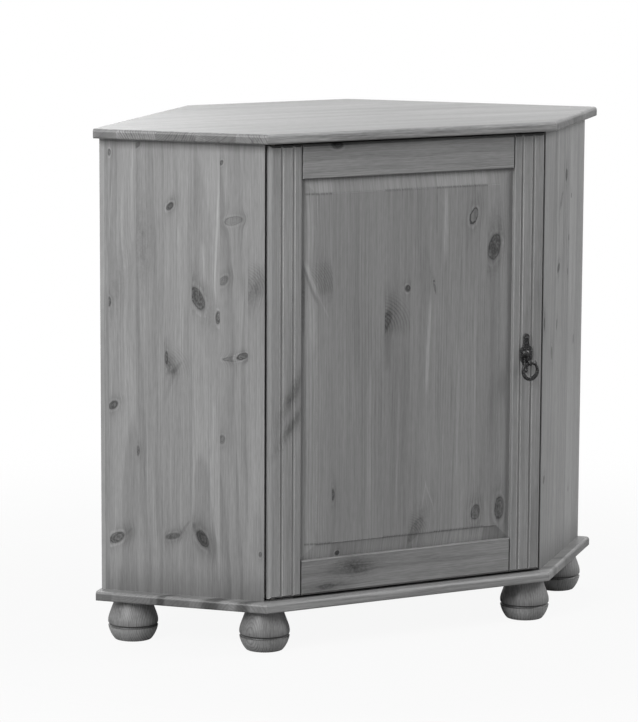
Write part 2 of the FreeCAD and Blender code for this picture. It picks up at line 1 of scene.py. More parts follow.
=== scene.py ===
import math
from types import SimpleNamespace
import bmesh
import bpy
from mathutils import Matrix, Vector


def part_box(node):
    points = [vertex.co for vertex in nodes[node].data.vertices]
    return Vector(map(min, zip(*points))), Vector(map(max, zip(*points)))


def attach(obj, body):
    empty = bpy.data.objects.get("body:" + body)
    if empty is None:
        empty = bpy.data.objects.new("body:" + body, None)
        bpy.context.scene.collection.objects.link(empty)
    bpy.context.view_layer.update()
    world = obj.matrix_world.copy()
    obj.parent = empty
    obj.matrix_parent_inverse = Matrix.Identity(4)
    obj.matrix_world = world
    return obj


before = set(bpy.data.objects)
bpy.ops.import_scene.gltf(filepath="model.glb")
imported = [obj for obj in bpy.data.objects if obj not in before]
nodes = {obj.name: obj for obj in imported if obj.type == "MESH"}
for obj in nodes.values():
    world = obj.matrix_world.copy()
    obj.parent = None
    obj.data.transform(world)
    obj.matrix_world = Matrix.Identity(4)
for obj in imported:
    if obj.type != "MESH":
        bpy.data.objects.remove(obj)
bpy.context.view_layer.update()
scene = bpy.context.scene
scene.view_settings.view_transform = "Standard"

MM = 0.001
FULL_TURN = 2 * math.pi
X = Vector((1, 0, 0))
Y = Vector((0, 1, 0))
Z = Vector((0, 0, 1))
# Along the left and the right side of the cupboard, from back to front and from front to back
LEFT_RUN = Vector((1, -1, 0)).normalized()
RIGHT_RUN = Vector((1, 1, 0)).normalized()


# Shader nodes as sums and products
class Field:
    """A number over a surface: sums and products of fields become shader nodes."""

    def __init__(self, tree, socket):
        self.tree = tree
        self.socket = socket

    def call(self, operation, *others):
        return math_node(self.tree, operation, self, *others)

    def __add__(self, other):
        return self.call("ADD", other)

    def __sub__(self, other):
        return self.call("SUBTRACT", other)

    def __rsub__(self, other):
        return math_node(self.tree, "SUBTRACT", other, self)

    def __mul__(self, other):
        return self.call("MULTIPLY", other)

    def __truediv__(self, other):
        return self.call("DIVIDE", other)

    __radd__ = __add__
    __rmul__ = __mul__

    def ramp(self, start, end, low=0.0, high=1.0):
        """A smooth step from low at start to high at end. Constants for ramps hold these in this order."""
        node = self.tree.nodes.new("ShaderNodeMapRange")
        node.interpolation_type = "SMOOTHSTEP"
        for name, value in (("From Min", start), ("From Max", end), ("To Min", low), ("To Max", high)):
            node.inputs[name].default_value = value
        feed(self.tree, node.inputs["Value"], self)
        return Field(self.tree, node.outputs["Result"])

    def bell(self):
        """The bell curve of a distance."""
        return (self * self * -1.0).call("EXPONENT")


def feed(tree, target, value):
    """Links a field to an input, or sets the input to a number."""
    if isinstance(value, Field):
        tree.links.new(value.socket, target)
    else:
        target.default_value = value


def math_node(tree, operation, *values):
    node = tree.nodes.new("ShaderNodeMath")
    node.operation = operation
    for target, value in zip(node.inputs, values):
        feed(tree, target, value)
    return Field(tree, node.outputs[0])


def dot(tree, vector, direction):
    """How far a point lies along a direction."""
    node = tree.nodes.new("ShaderNodeVectorMath")
    node.operation = "DOT_PRODUCT"
    tree.links.new(vector, node.inputs[0])
    node.inputs[1].default_value = direction
    return Field(tree, node.outputs["Value"])


def distance(one, other):
    """The length of two legs at a right angle."""
    return (one * one + other * other).call("SQRT")


def noise(tree, x, y, z, detail=2.0, rough=0.5):
    """Smooth noise around 0, over three fields."""
    point = tree.nodes.new("ShaderNodeCombineXYZ")
    for target, value in zip(point.inputs, (x, y, z)):
        feed(tree, target, value)
    node = tree.nodes.new("ShaderNodeTexNoise")
    node.inputs["Scale"].default_value = 1.0
    node.inputs["Detail"].default_value = detail
    node.inputs["Roughness"].default_value = rough
    tree.links.new(point.outputs[0], node.inputs["Vector"])
    return Field(tree, node.outputs["Fac"]) - 0.5


def chances(tree, number):
    """Three random numbers from 0 to 1 that depend on one."""
    node = tree.nodes.new("ShaderNodeTexWhiteNoise")
    node.noise_dimensions = "1D"
    feed(tree, node.inputs["W"], number)
    parts = tree.nodes.new("ShaderNodeSeparateColor")
    tree.links.new(node.outputs["Color"], parts.inputs[0])
    return [Field(tree, out) for out in parts.outputs]


def new_material(name):
    material = bpy.data.materials.new(name)
    material.use_nodes = True
    tree = material.node_tree
    return material, tree, tree.nodes["Principled BSDF"]


def set_colour(tree, shader, *parts):
    """Three fields as the base colour, or one field as a grey."""
    node = tree.nodes.new("ShaderNodeCombineColor")
    for number, target in enumerate(node.inputs):
        feed(tree, target, parts[number % len(parts)])
    tree.links.new(node.outputs[0], shader.inputs["Base Color"])


def set_bump(tree, shader, height, strength, depth):
    node = tree.nodes.new("ShaderNodeBump")
    node.inputs["Strength"].default_value = strength
    node.inputs["Distance"].default_value = depth
    feed(tree, node.inputs["Height"], height)
    tree.links.new(node.outputs[0], shader.inputs["Normal"])


# Wear, which also paints a highlight along the edges, starts where rounding would turn the surface a little,
# and is full where it would turn it more
EDGE_SAMPLES = 4
WEAR_GLINT_TURN = (0.98, 0.86)
WEAR_GLINT_OPENNESS = (0.75, 0.95)
# Grime and painted shade start where the piece closes a point in a little, and are full where it closes it in
# much
GRIME_AND_SHADE_OPENNESS = (0.9, 0.3)


def wear_glint_and_hollow_shade(tree, radius, depth):
    """Wear with a painted highlight rises to 1 along the outer edges of a piece, and grime with painted shade
    rises to 1 in its grooves.
    """
    hollow = tree.nodes.new("ShaderNodeAmbientOcclusion")
    hollow.only_local = True
    hollow.samples = EDGE_SAMPLES
    hollow.inputs["Distance"].default_value = depth
    openness = Field(tree, hollow.outputs["AO"])
    bevel = tree.nodes.new("ShaderNodeBevel")
    bevel.samples = EDGE_SAMPLES
    bevel.inputs["Radius"].default_value = radius
    plain = tree.nodes.new("ShaderNodeNewGeometry")
    turned = tree.nodes.new("ShaderNodeVectorMath")
    turned.operation = "DOT_PRODUCT"
    tree.links.new(bevel.outputs[0], turned.inputs[0])
    tree.links.new(plain.outputs["Normal"], turned.inputs[1])
    wear_and_glint = Field(tree, turned.outputs["Value"]).ramp(*WEAR_GLINT_TURN) * openness.ramp(*WEAR_GLINT_OPENNESS)
    return wear_and_glint, openness.ramp(*GRIME_AND_SHADE_OPENNESS)


def make_group(name, inputs, outputs, build):
    """A node group made of fields: build gets one field for each input and gives the outputs."""
    tree = bpy.data.node_groups.new(name, "ShaderNodeTree")
    for label in inputs:
        tree.interface.new_socket(label, in_out="INPUT", socket_type="NodeSocketFloat")
    for label in outputs:
        tree.interface.new_socket(label, in_out="OUTPUT", socket_type="NodeSocketFloat")
    source = tree.nodes.new("NodeGroupInput")
    sink = tree.nodes.new("NodeGroupOutput")
    results = build(*(Field(tree, source.outputs[label]) for label in inputs))
    for label, result in zip(outputs, results):
        feed(tree, sink.inputs[label], result)
    return tree


def use_group(tree, group, *values):
    node = tree.nodes.new("ShaderNodeGroup")
    node.node_tree = group
    for target, value in zip(node.inputs, values):
        feed(tree, target, value)
    return [Field(tree, out) for out in node.outputs]


# Knots: a dark core with rings, a rim, a pale collar, a halo and a trail along the grain.
# Places are in knot radii, and a place in the wood is given by place, across the grain, and level, along it
KNOT_REACH = 2.0
KNOT_EGG_ASIDE = 0.2
KNOT_EGG_ABOVE = 0.16
KNOT_FRAY = 0.45
KNOT_WOBBLE = 0.55
TRAIL_ASIDE = 0.6
TRAIL_ABOVE = 0.3
HALO_SHARE = 0.7
TRAIL_SHARE = 0.6
HALO_LEVEL = 0.9
HALO_FRAY = 1.6
CORE_EDGE = (1.07, 0.9)
CORE_FADE = (0.0, 0.9, 0.65, 1.0)
CORE_RING_PACE = 13.0
CORE_RING_DEPTH = 0.2
CORE_FRAY = 0.8
CORE_LEVEL = 0.84
RIM_SHARPNESS = 10.0
RIM_WOBBLE = 1.8
RIM_LEAN = 0.4
RIM_LEVEL = 1.2
COLLAR_PLACE = 1.45
COLLAR_SHARPNESS = 4.0
COLLAR_LIGHT = 0.27
GRAIN_PUSH = 0.5
KNOT_INPUTS = ("place", "level", "rough", "coarse", "inside", "across", "height", "wide", "tall", "lean",
               "core", "rim", "halo")


def build_knot(place, level, rough, coarse, inside, across, height, wide, tall, lean, core, rim, halo):
    """How dark a knot makes the wood, how far it pushes the grain, and how much rings show round it."""
    aside = (place - across - (level - height) * lean) / wide
    above = (level - height) / tall
    near = distance(aside, above)
    close = (near / KNOT_REACH).bell()
    egg = (aside * KNOT_EGG_ASIDE + above * KNOT_EGG_ABOVE) * close + 1.0
    radius = near * egg + rough * KNOT_FRAY + coarse * KNOT_WOBBLE
    around = close * inside
    trail = (aside * TRAIL_ASIDE + coarse).bell() * (above * TRAIL_ABOVE).bell() * inside
    blotches = rough * HALO_FRAY + coarse + HALO_LEVEL
    mark = (around * HALO_SHARE + trail * TRAIL_SHARE) * blotches * halo
    rings = (radius * CORE_RING_PACE).call("SINE") * CORE_RING_DEPTH + rough * CORE_FRAY + CORE_LEVEL
    mark = mark + radius.ramp(*CORE_EDGE) * rings * radius.ramp(*CORE_FADE) * core * inside
    uneven = coarse * RIM_WOBBLE - aside * RIM_LEAN + RIM_LEVEL
    mark = mark + ((radius - 1.0) * RIM_SHARPNESS).bell() * uneven * rim * inside
    collar = ((radius - COLLAR_PLACE) * COLLAR_SHARPNESS).bell()
    mark = mark - collar * (core + rim) * COLLAR_LIGHT * inside
    return mark, (place - across) * around * GRAIN_PUSH, around * (core + rim + halo)


# Streaks fade at both ends, over this share of their length
STREAK_FADE = 0.2
STREAK_INPUTS = ("grain", "level", "across", "bottom", "top", "wide", "lean", "strength")


def build_streak(grain, level, across, bottom, top, wide, lean, strength):
    """A pale or dark streak that runs along the grain."""
    share = (level - bottom) / (top - bottom)
    reach = share.ramp(-STREAK_FADE, STREAK_FADE) * share.ramp(1.0 + STREAK_FADE, 1.0 - STREAK_FADE)
    off = (grain - across - (level - bottom) * lean) / wide
    return [(off * off).bell() * reach * strength]


# Fans: curved lines round a centre
FAN_WOBBLE = 3 * MM
FAN_LINE = (-0.2, 0.9, 0.3, 1.0)
FAN_INPUTS = ("place", "level", "rough", "inside", "across", "height", "radius", "spread", "turn", "opening",
              "pitch", "strength")


def build_fan(place, level, rough, inside, across, height, radius, spread, turn, opening, pitch, strength):
    """A fan of curved grain lines beside a knot that was cut away."""
    aside = place - across
    above = level - height
    far = distance(aside, above)
    turned = (above.call("ARCTAN2", aside) - turn) / opening
    off = (far - radius) / spread
    lines = ((far + rough * FAN_WOBBLE) / pitch * FULL_TURN).call("SINE").ramp(*FAN_LINE)
    return [(turned * turned).bell() * (off * off).bell() * lines * strength * inside]


KNOT = make_group("knot", KNOT_INPUTS, ("mark", "push", "flow"), build_knot)
STREAK = make_group("streak", STREAK_INPUTS, ("light",), build_streak)
FAN = make_group("fan", FAN_INPUTS, ("mark",), build_fan)


# Two stave numbers this close are the same
SAME_STAVE = 0.1


def in_stave(wood, place):
    """1 in the stave that holds a place across the grain, and 0 in the others."""
    if not wood.stave:
        return 1.0
    return wood.index.call("COMPARE", math.floor((place - wood.start) / wood.stave), SAME_STAVE)


def knot_marks(wood):
    """The marks, pushes and flow lines of the wood's knots, added up."""
    totals = (0.0, 0.0, 0.0)
    for across, height, wide, tall, lean, *strengths in wood.knots:
        sizes = [size * MM for size in (across, height, wide, tall)]
        inside = in_stave(wood, across * MM)
        values = (wood.place, wood.level, wood.rough, wood.coarse, inside, *sizes, lean, *strengths)
        parts = use_group(wood.tree, KNOT, *values)
        totals = [part + total for part, total in zip(parts, totals)]
    return totals


def fan_marks(wood):
    """The marks of the wood's fans, added up."""
    total = 0.0
    for across, height, radius, spread, turn, opening, pitch, strength in wood.fans:
        angle = math.radians(turn)
        inside = in_stave(wood, (across + radius * math.cos(angle)) * MM)
        sizes = [size * MM for size in (across, height, radius, spread)]
        shape = (*sizes, angle, math.radians(opening), pitch * MM, strength)
        total = use_group(wood.tree, FAN, wood.place, wood.level, wood.rough, inside, *shape)[0] + total
    return total


def streak_light(wood):
    """The light of the wood's streaks, added up."""
    total = 0.0
    for *sizes, lean, strength in wood.streaks:
        metres = (size * MM for size in sizes)
        total = use_group(wood.tree, STREAK, wood.grain, wood.level, *metres, lean, strength)[0] + total
    return total


# Pine: what a piece of it can set for itself, in metres where a size or a place is meant
PINE = {
    # Width of the glued staves, or 0 for one piece of wood, and where a seam lies
    "stave": 0.0452,
    "start": 0.0,
    # The random draw
    "seed": 1.0,
    # Mean grey, strength of the fine pattern, and strength of the broad bands in it
    "tone": 0.25,
    "contrast": 1.0,
    "bands": 1.0,
    # Distance of the growth rings, and how dark they are on the faces and on the ends
    "ring": 0.0024,
    "rings": 0.16,
    "hatch": 0.4,
    # Where the heart of the log lies, or the angles it is drawn between, and where it is measured from
    "heart": None,
    "sawn": (0.4, 2.7),
    "middle": (0.0, 0.0),
    # How fast lines change along the grain, how fine they are, and how far they wander
    "run": 2.0,
    "fine": 1.0,
    "wave": 0.0,
    # How much the pattern changes with depth
    "solid": 1.0,
    # Tables of marks, and heights at which a cutter left a shoulder
    "knots": (),
    "fans": (),
    "streaks": (),
    "shoulders": (),
    # Wear with a painted highlight along the edges, dirt with painted shade in the grooves, painted light on
    # slanting faces
    "rub": 0.4,
    "dirt": 0.3,
    "slant": 0.0,
    # Height of a turned groove, with painted shade in it and painted light below it, and of a lower end where
    # painted shade and darker stain darken the wood towards it
    "groove": None,
    "dark_end": None,
}

# How many times a metre each pattern of pine changes across, through and along the grain
BEND_PACE = (9.0, 9.0, 3.0)
ROUGH_PACE = (300.0, 300.0, 210.0)
COARSE_PACE = (110.0, 40.0, 80.0)
WAVE_PACE = (14.0, 14.0, 30.0)
LINE_PACE_ACROSS = 450.0
LINE_PACE_THROUGH = 140.0
TICK_PACE = (620.0, 620.0, 60.0)
FIBRE_PACE = (900.0, 300.0, 9.0)
BAND_PACE = (110.0, 40.0, 1.2)
CLOUD_PACE = (18.0, 18.0, 3.0)
CUT_PACE = 420.0

# How far the random draws of a stave lie apart
STAVE_DRAW = 7.31
STAVE_SECOND_DRAW = 3.17
SECOND_DRAW_START = 50.0
STAVE_BEND = 3.7
STAVE_LINES = 5.0
STAVE_BANDS = 2.3
STAVE_CLOUDS = 3.0
STAVE_CUTS = 3.0
STAVE_YEARS = 17.0


def weave(wood, place, pace, shift=(0.0, 0.0, 0.0), detail=2.0, rough=0.5):
    """Noise over the wood at its own pace across, through and along the grain."""
    parts = []
    for part, speed, move in zip((place, wood.depth, wood.level), pace, shift):
        parts.append(part * speed + move if move else part * speed)
    return noise(wood.tree, *parts, detail, rough)


def draw_staves(wood):
    """Finds the stave that a point lies in, and makes the stave's random draws."""
    if wood.stave:
        wood.index = ((wood.place - wood.start) / wood.stave).call("FLOOR")
        wood.centre = (wood.index + 0.5) * wood.stave + wood.start
    else:
        wood.index = wood.place * 0.0
        wood.centre = wood.index + wood.middle[0]
    wood.turn, wood.far, wood.shade = chances(wood.tree, wood.index * STAVE_DRAW + wood.seed)
    second = wood.index * STAVE_SECOND_DRAW + wood.seed + SECOND_DRAW_START
    wood.tilt, wood.slope, wood.gloom = chances(wood.tree, second)


GRAIN_BEND = 9 * MM


def draw_grain(wood):
    """Bends the grain, also round the knots, and adds up the marks of knots and fans."""
    wood.bend = weave(wood, wood.place, BEND_PACE, (0.0, wood.seed, wood.index * STAVE_BEND))
    wood.rough = weave(wood, wood.place, ROUGH_PACE, detail=3.0, rough=0.6)
    wood.coarse = weave(wood, wood.place, COARSE_PACE)
    wood.marks, push, wood.flow = knot_marks(wood)
    if wood.fans:
        wood.marks = fan_marks(wood) + wood.marks
    wood.grain = wood.place + wood.bend * GRAIN_BEND - push
    if wood.wave:
        wander = weave(wood, wood.place, WAVE_PACE, (0.0, 0.0, wood.seed))
        wood.grain = wood.grain + wander * wood.wave


# The log that a stave is cut from: how far off its heart lies, how far it leans, and its dark late wood
HEART_NEAREST = 30 * MM
HEART_SPAN = 60 * MM
LOG_LEAN_ASIDE = 0.006
LOG_LEAN_DEEP = 0.02
RING_BEND = 3 * MM
LATE_RISE = (0.3, 0.85)
LATE_FALL = (1.0, 0.9)
YEAR_FAINTEST = 0.3


def growth_rings(wood):
    """How much dark late wood there is at a point."""
    if wood.heart:
        heart_aside, heart_deep = wood.heart
    else:
        least, greatest = wood.sawn
        angle = wood.turn * (greatest - least) + least
        reach = wood.far * HEART_SPAN + HEART_NEAREST
        heart_aside = reach * angle.call("COSINE")
        heart_deep = reach * angle.call("SINE") * -1.0
    aside = wood.grain - wood.centre - heart_aside + wood.level * (wood.tilt - 0.5) * LOG_LEAN_ASIDE
    deep = wood.depth - wood.middle[1] - heart_deep + wood.level * (wood.slope - 0.5) * LOG_LEAN_DEEP
    years = distance(aside, deep + wood.bend * RING_BEND) / wood.ring
    season = years.call("FRACT")
    late = season.ramp(*LATE_RISE) * season.ramp(*LATE_FALL)
    year = chances(wood.tree, years.call("FLOOR") + wood.index * STAVE_YEARS)[0]
    return late * (year * (1.0 - YEAR_FAINTEST) + YEAR_FAINTEST)


# The fine pattern of pine
PALE_BAND = (0.08, 0.26)
DARK_BAND = (-0.08, -0.26)
BAND_LIGHT = 0.11
CLOUD_LIGHT = 0.36
LINE_LIGHT = 0.5
FIBRE_LIGHT = 0.6
TICK_LIGHT = 0.4
END_FACING = (0.3, 0.7)
END_PLAINNESS = 0.6
FLOW_RINGS = 0.35
RINGS_FAINTEST = 0.3
RINGS_SPAN = 1.4
STAVE_SHADE_LOWEST = 0.93
STAVE_SHADE_SPAN = 0.14
END_GLOOM_LEAST = 0.08
END_GLOOM_SPAN = 0.36
BEVEL_FACING = (0.1, 0.2)
BEVEL_GLOOM_MIDDLE = 0.45
BEVEL_GLOOM_SPAN = 0.4


def plain_wood(wood, facing):
    """The light and dark of wood without its marks: staves, growth rings, bands, lines and fibres."""
    end = facing.ramp(*END_FACING)
    line_pace = (LINE_PACE_ACROSS * wood.fine, LINE_PACE_THROUGH, wood.run)
    line_shift = (0.0, 0.0, wood.index * STAVE_LINES)
    wood.lines = weave(wood, wood.grain, line_pace, line_shift, detail=3.0, rough=0.7)
    wood.ticks = weave(wood, wood.grain, TICK_PACE)
    wood.fibre = weave(wood, wood.grain, FIBRE_PACE)
    band_shift = (0.0, 0.0, wood.index * STAVE_BANDS + wood.seed)
    band = weave(wood, wood.grain, BAND_PACE, band_shift, detail=1.0)
    cloud = weave(wood, wood.place, CLOUD_PACE, (wood.index * STAVE_CLOUDS, 0.0, wood.seed))
    light = (band.ramp(*PALE_BAND) - band.ramp(*DARK_BAND)) * BAND_LIGHT * wood.bands + cloud * CLOUD_LIGHT
    fine = wood.lines * LINE_LIGHT + wood.fibre * FIBRE_LIGHT + wood.ticks * TICK_LIGHT
    light = light + fine * (1.0 - end * END_PLAINNESS)
    rings = wood.rings
    if wood.stave:
        rings = (wood.slope * RINGS_SPAN + RINGS_FAINTEST) * rings
    dark = growth_rings(wood) * (end * wood.hatch + wood.flow * FLOW_RINGS + rings)
    value = (light * wood.contrast + 1.0) * (1.0 - dark)
    value = value * (wood.shade * STAVE_SHADE_SPAN + STAVE_SHADE_LOWEST)
    value = value * (1.0 - end * (wood.gloom * END_GLOOM_SPAN + END_GLOOM_LEAST))
    if wood.stave:
        bevel = facing.ramp(*BEVEL_FACING) * (1.0 - end)
        value = value * (bevel * (wood.gloom - BEVEL_GLOOM_MIDDLE) * BEVEL_GLOOM_SPAN + 1.0)
    return value


# Marks of making and use, and painted light and shade: on slanting faces, towards a lower end and at a turned
# groove
SLANT_LIGHT_FACING = (0.1, 0.18)
SHADED_END_HEIGHT = 55 * MM
SHADED_END_LIGHT = 0.7
GROOVE_WIDTH = 2.4 * MM
GROOVE_SHADE = 0.6
GROOVE_EDGE = 4 * MM
BELOW_GROOVE_PAINTED_LIGHT = 1.5
DARKEST_MARK = 0.8
SHOULDER_WIDTH = 1.6 * MM
SHOULDER_DARK = 0.5
SHOULDER_GLOOM = (0.35, 0.6)
CUT_EDGE = (-0.1, 0.06, 0.3, 1.0)
SEAM_EDGE = (0.488, 0.5, 1.0, 0.93)


def marked_wood(wood, value, normal, across, along):
    """The light and dark of wood with its streaks, knots, shoulders and seams, with painted light on slanting
    faces, painted shade and darker stain towards a lower end, and painted shade in a turned groove with
    painted light below it.
    """
    if wood.streaks:
        value = value * (streak_light(wood) + 1.0)
    # Painted light on faces that slant to the side or look down
    if wood.slant:
        tipped = dot(wood.tree, normal, across).call("ABSOLUTE")
        tipped = tipped.call("MAXIMUM", dot(wood.tree, normal, -along))
        value = value * (tipped.ramp(*SLANT_LIGHT_FACING) * wood.slant + 1.0)
    # Painted shade, with darker stain, towards the lower end
    if wood.dark_end:
        value = value * wood.level.ramp(wood.dark_end, wood.dark_end + SHADED_END_HEIGHT, SHADED_END_LIGHT, 1.0)
    # Painted shade in the turned groove, and painted light on the bulge below it
    if wood.groove:
        value = value * (1.0 - ((wood.level - wood.groove) / GROOVE_WIDTH).bell() * GROOVE_SHADE)
        value = value * wood.level.ramp(wood.groove - GROOVE_EDGE, wood.groove, BELOW_GROOVE_PAINTED_LIGHT, 1.0)
    if wood.knots:
        value = value * (1.0 - wood.marks.call("MINIMUM", DARKEST_MARK))
    for height in wood.shoulders:
        cuts = noise(wood.tree, wood.place * CUT_PACE, 0.0, wood.index * STAVE_CUTS).ramp(*CUT_EDGE)
        line = ((wood.level - height) / SHOULDER_WIDTH).bell() * wood.gloom.ramp(*SHOULDER_GLOOM)
        value = value * (1.0 - line * cuts * SHOULDER_DARK)
    if wood.stave:
        off_middle = ((wood.place - wood.start) / wood.stave).call("FRACT") - 0.5
        value = value * off_middle.call("ABSOLUTE").ramp(*SEAM_EDGE)
    return value


# Surface of pine
WOOD_EDGE = 1.8 * MM
WOOD_GROOVE = 5 * MM
WOOD_ROUGHNESS = 0.42
WOOD_ROUGHNESS_SPAN = 0.3
WOOD_IOR = 1.45
LINE_HEIGHT = 0.6
TICK_HEIGHT = 0.5
WOOD_BUMP = 0.3
WOOD_BUMP_DEPTH = 0.3 * MM


def pine(name, across, along, **settings):
    """Stained pine as a solid pattern: staves cut from logs, growth rings, fibres, knots, worn edges with a
    painted highlight, and grime with painted shade in its hollows.
    """
    material, tree, shader = new_material(name)
    wood = SimpleNamespace(tree=tree, **{**PINE, **settings})
    coords = tree.nodes.new("ShaderNodeTexCoord")
    point = coords.outputs["Object"]
    normal = coords.outputs["Normal"]
    wood.place = dot(tree, point, across)
    wood.depth = dot(tree, point, across.cross(along) * wood.solid)
    wood.level = dot(tree, point, along)
    draw_staves(wood)
    draw_grain(wood)
    value = plain_wood(wood, dot(tree, normal, along).call("ABSOLUTE"))
    value = marked_wood(wood, value, normal, across, along)
    # Edge wear with a painted highlight, and grime with painted shade in the hollows
    wear_and_glint, grime_and_shade = wear_glint_and_hollow_shade(tree, WOOD_EDGE, WOOD_GROOVE)
    value = value * (wear_and_glint * wood.rub + 1.0) * (1.0 - grime_and_shade * wood.dirt) * wood.tone
    set_colour(tree, shader, value)
    feed(tree, shader.inputs["Roughness"], wood.fibre * WOOD_ROUGHNESS_SPAN + WOOD_ROUGHNESS)
    shader.inputs["IOR"].default_value = WOOD_IOR
    height = wood.fibre + wood.lines * LINE_HEIGHT + wood.ticks * TICK_HEIGHT
    set_bump(tree, shader, height, WOOD_BUMP, WOOD_BUMP_DEPTH)
    return material


# Plywood: paces in changes per metre
PLY_TONE = 0.29
PLY_FLOW_PACE = (6.0, 1.4)
PLY_FIGURE_FLOW = 26.0
PLY_FIGURE_PACE = 40.0
PLY_FIGURE_DEPTH = 0.16
PLY_PORE_PACE = (900.0, 40.0)
PLY_PORE_LIGHT = 0.3
PLY_EDGE = 1 * MM
PLY_GROOVE = 4 * MM
PLY_WEAR_AND_GLINT = 0.2
PLY_GRIME_AND_SHADE = 0.3
PLY_ROUGHNESS = 0.6
PLY_ROUGHNESS_SPAN = 0.2
PLY_BUMP = 0.2
PLY_BUMP_DEPTH = 0.2 * MM


def plywood(name, across, along, seed):
    """Thin rotary-cut plywood: wide flowing figure and open pores."""
    material, tree, shader = new_material(name)
    point = tree.nodes.new("ShaderNodeTexCoord").outputs["Object"]
    place = dot(tree, point, across)
    level = dot(tree, point, along)
    flow = noise(tree, place * PLY_FLOW_PACE[0] + seed, level * PLY_FLOW_PACE[1], seed) + 0.5
    figure = (flow * PLY_FIGURE_FLOW + place * PLY_FIGURE_PACE).call("SINE") * 0.5 + 0.5
    pores = noise(tree, place * PLY_PORE_PACE[0], level * PLY_PORE_PACE[1], seed)
    # Edge wear with a painted highlight, and grime with painted shade in the hollows
    wear_and_glint, grime_and_shade = wear_glint_and_hollow_shade(tree, PLY_EDGE, PLY_GROOVE)
    value = (1.0 - figure * PLY_FIGURE_DEPTH) * (pores * PLY_PORE_LIGHT + 1.0)
    value = value * (wear_and_glint * PLY_WEAR_AND_GLINT + 1.0) * (1.0 - grime_and_shade * PLY_GRIME_AND_SHADE) * PLY_TONE
    set_colour(tree, shader, value)
    feed(tree, shader.inputs["Roughness"], pores * PLY_ROUGHNESS_SPAN + PLY_ROUGHNESS)
    set_bump(tree, shader, pores, PLY_BUMP, PLY_BUMP_DEPTH)
    return material


# Metal
METAL_EDGE = 0.8 * MM
METAL_GROOVE = 2 * MM
METAL_GRIME_AND_SHADE = 0.5
METAL_ROUGHNESS_SPAN = 0.3
METAL_DENT_DEPTH = 0.4 * MM
WORN_GLINT_SPOTS = (-0.1, 0.1)
SPECKLE_GLINTS = (0.04, 0.16)


def metal(name, colour, rough, mottle=0.4, scale=500.0, wear_and_glint=0.0, metallic=1.0, dents=0.2, shine=0.5,
          speckle_glint=0.0):
    """Metal with mottled colour, brightness worn in along its edges that also paints a highlight, pale
    speckles painted as glints, painted shade in its hollows, and small dents.
    """
    material, tree, shader = new_material(name)
    point = tree.nodes.new("ShaderNodeTexCoord").outputs["Object"]
    places = (dot(tree, point, direction) * scale for direction in (X, Y, Z))
    spots = noise(tree, *places, detail=3.0, rough=0.6)
    # Edge wear with a painted highlight, and grime with painted shade in the hollows
    rubbed_and_glinting, grime_and_shade = wear_glint_and_hollow_shade(tree, METAL_EDGE, METAL_GROOVE)
    light = (spots * mottle * 2.0 + 1.0) * (1.0 - grime_and_shade * METAL_GRIME_AND_SHADE)
    worn_and_glints = rubbed_and_glinting * spots.ramp(*WORN_GLINT_SPOTS) * wear_and_glint
    # Pale speckles painted as glints
    if speckle_glint:
        worn_and_glints = worn_and_glints + spots.ramp(*SPECKLE_GLINTS) * speckle_glint
    set_colour(tree, shader, *(light * part + worn_and_glints for part in colour))
    shader.inputs["Metallic"].default_value = metallic
    shader.inputs["Specular IOR Level"].default_value = shine
    feed(tree, shader.inputs["Roughness"], spots * METAL_ROUGHNESS_SPAN + rough)
    set_bump(tree, shader, spots, dents, METAL_DENT_DEPTH)
    return material


def dress(material, *names):
    """Gives CAD nodes a material."""
    for name in names:
        mesh = nodes[name].data
        mesh.materials.clear()
        mesh.materials.append(material)


def middle_of(name):
    """The middle of a node's box."""
    return sum(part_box(name), Vector()) / 2


# Knots, in millimetres: across, height, half width, half height, lean, then core, rim and halo
LEFT_KNOTS = (
    (-262, 764, 2.5, 5, 0.0, 0.6, 0.1, 0.1), (-216, 776, 4, 5, 0.5, 0.35, 0.1, 0.15),
    (-81, 754, 3, 4, 0.3, 0.55, 0.1, 0.15), (-163, 685, 4.5, 5.5, 0.4, 0.6, 0.15, 0.3),
    (-59, 667, 12, 6, 0.8, 0.14, 0.25, 0.1), (-76, 575, 6, 7, 0.4, 0.3, 0.15, 0.15),
    (-119, 547, 9, 16, -0.35, 0.45, 0.2, 0.3), (-86, 518, 3.5, 9, 0.0, 0.65, 0.15, 0.15),
    (-37, 556, 13, 12, 0.5, 0.0, 0.0, 0.3), (-263, 534, 3, 7, 0.0, 0.5, 0.1, 0.15),
    (-250, 560, 10, 30, 0.2, 0.0, 0.0, 0.12), (-208, 625, 9, 28, 0.0, 0.0, 0.0, 0.2),
    (-170, 452, 2.5, 10, 0.0, 0.4, 0.1, 0.15), (-163, 437, 6, 11, -0.3, 0.1, 0.0, 0.25),
    (-46, 460, 7, 5, 0.6, 0.25, 0.55, 0.15), (-58, 455, 14, 3.5, 1.2, 0.1, 0.25, 0.15),
    (-256, 373, 6.5, 6.5, 0.4, 0.55, 0.15, 0.25), (-217, 304, 3, 7, 0.0, 0.35, 0.1, 0.25),
    (-80, 330, 5, 6, 0.0, 0.3, 0.1, 0.2), (-250, 165, 10, 8.5, 0.6, 0.55, 0.2, 0.25),
    (-158, 173, 10, 5, 0.9, 0.3, 0.1, 0.3), (-111, 173, 8, 12, -0.4, 0.55, 0.2, 0.25),
    (-18, 154, 2.5, 4, 0.0, 0.5, 0.1, 0.1),
)
